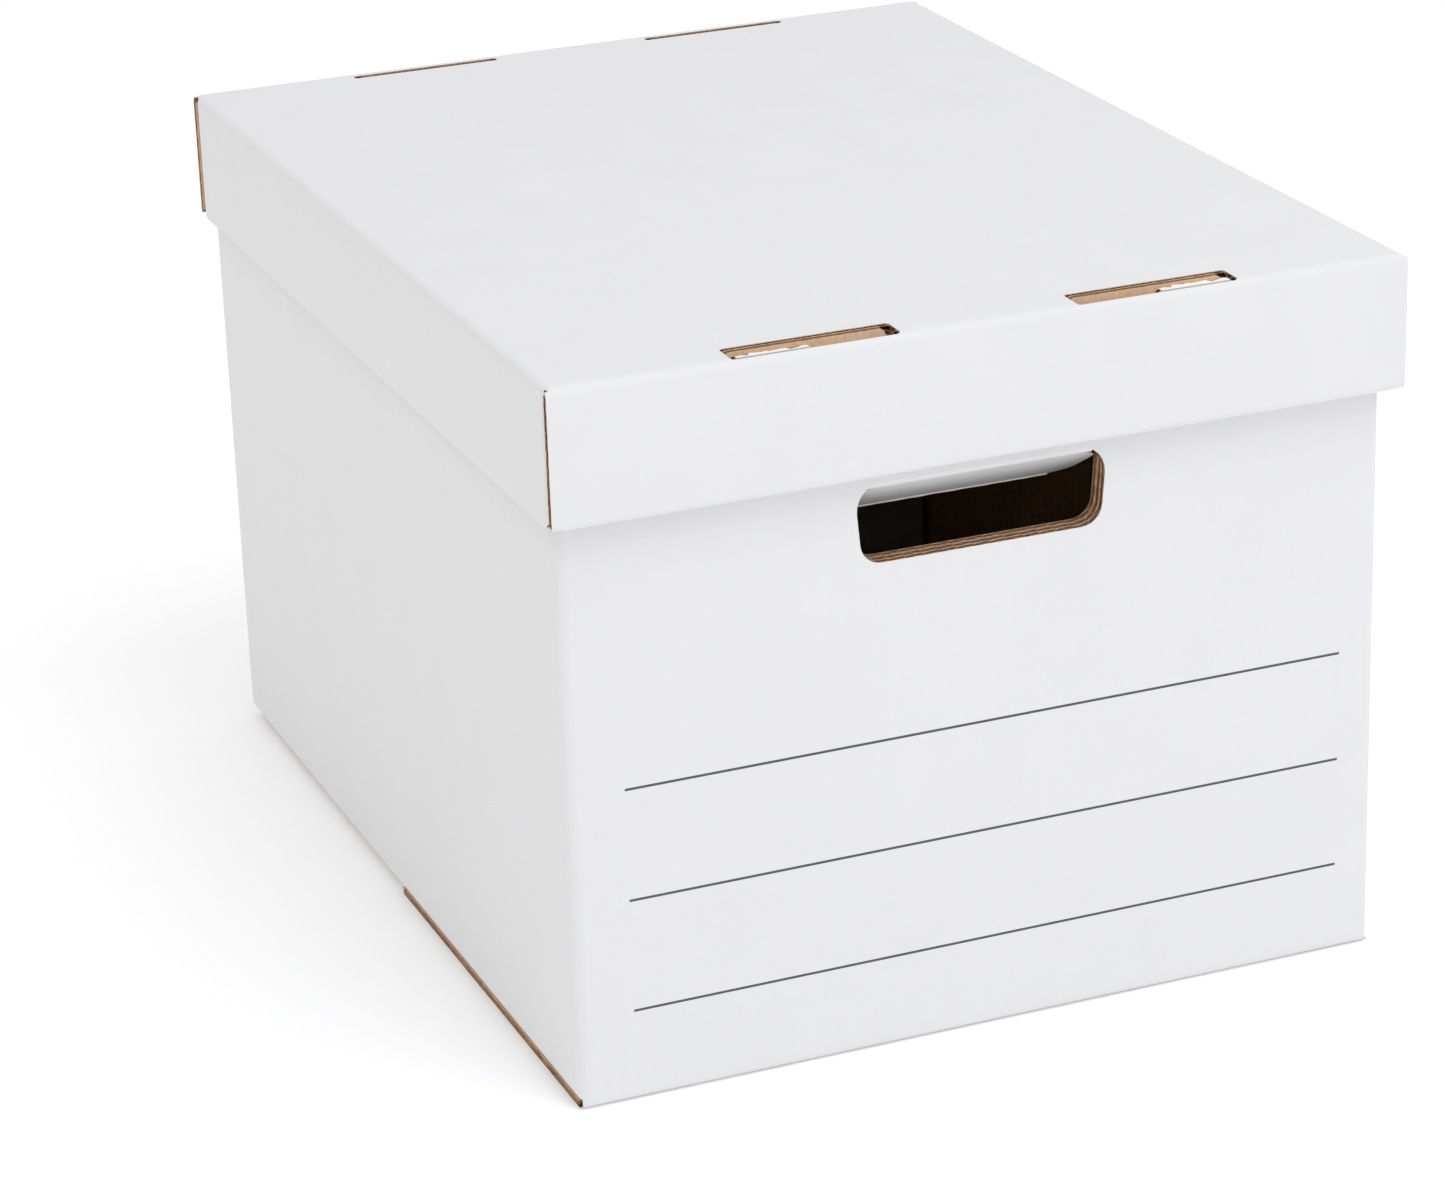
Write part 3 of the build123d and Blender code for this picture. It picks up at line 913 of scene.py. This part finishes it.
ink = bpy.data.materials.new("slate_ink")
ink.use_nodes = True
ink_place = ink.node_tree.nodes.new("ShaderNodeTexCoord")
ink_cover = node(ink.node_tree, "ShaderNodeTexNoise", {
    "Vector": ink_place.outputs["Object"], "Scale": 1800.0, "Detail": 2.0,
})
ink_colour = node(ink.node_tree, "ShaderNodeMix", data_type="RGBA")
ink.node_tree.links.new(ink_cover.outputs["Fac"], ink_colour.inputs["Factor"])
ink_colour.inputs["A"].default_value = (0.035, 0.04, 0.055, 1)
ink_colour.inputs["B"].default_value = (0.11, 0.12, 0.15, 1)
ink_shader = ink.node_tree.nodes["Principled BSDF"]
ink.node_tree.links.new(ink_colour.outputs["Result"], ink_shader.inputs["Base Color"])
ink_shader.inputs["Roughness"].default_value = 0.6

line_points, line_faces = [], []
for height in line_heights:
    line_shape = plain_shape(
        (-line_half_length, line_half_length), (height - line_half_width, height + line_half_width)
    )
    line_cuts = np.linspace(-line_half_length, line_half_length, line_pieces + 1)[1:-1]
    sheet, sheet_faces = cut_sheet([line_shape], line_cuts, ())
    flat, *sides = between_faces(
        sheet, sheet_faces, np.full(len(sheet), ink_thickness), np.full(len(sheet), -ink_thickness)
    )
    base = len(line_points)
    line_points += [(x + line_middle, box_front - depth, y) for x, y, depth in flat]
    line_faces += [[c + base for c in f] for group in sides for f in group]
line_mesh = bpy.data.meshes.new("label_lines")
line_mesh.from_pydata(line_points, [], line_faces)
line_mesh.materials.append(ink)
label_lines = scene_object("label_lines", line_mesh)
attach(label_lines, "box")

# Floor and light
# A pale level floor just under the box, a broad soft light above its front and a little to the
# right, and a bright even surround, so that the shadows stay faint.
floor_half = 12.0
floor_drop = 0.0002
key_place = Vector((0.55, -1.3, 2.36))
key_aim = Vector((0, 0, 0.12))

floor_mesh = bpy.data.meshes.new("floor")
floor_mesh.from_pydata(
    [(x, y, -floor_drop) for x, y in plain_shape((-floor_half, floor_half), (-floor_half, floor_half))],
    [], [(0, 1, 2, 3)],
)
floor = scene_object("floor", floor_mesh)
floor_paper = bpy.data.materials.new("floor_paper")
floor_paper.use_nodes = True
floor_shader = floor_paper.node_tree.nodes["Principled BSDF"]
floor_shader.inputs["Base Color"].default_value = (0.97, 0.97, 0.97, 1)
floor_shader.inputs["Roughness"].default_value = 0.9
floor_shader.inputs["Specular IOR Level"].default_value = 0.1
floor_shader.inputs["Emission Color"].default_value = (1, 1, 1, 1)
floor_shader.inputs["Emission Strength"].default_value = 0.12
floor_mesh.materials.append(floor_paper)

world = bpy.data.worlds.new("surround")
world.use_nodes = True
world.node_tree.nodes["Background"].inputs["Color"].default_value = (1.0, 1.0, 1.0, 1)
world.node_tree.nodes["Background"].inputs["Strength"].default_value = 0.836
bpy.context.scene.world = world

key_data = bpy.data.lights.new("key", "AREA")
key_data.shape = "SQUARE"
key_data.size = 1.6
key_data.energy = 21.5
key_data.color = (0.90, 0.915, 1.0)
key = scene_object("key", key_data)
key.location = key_place
key.rotation_mode = "QUATERNION"
key.rotation_quaternion = (key_aim - key_place).to_track_quat("-Z", "Y")
bpy.context.scene.view_settings.view_transform = "Standard"
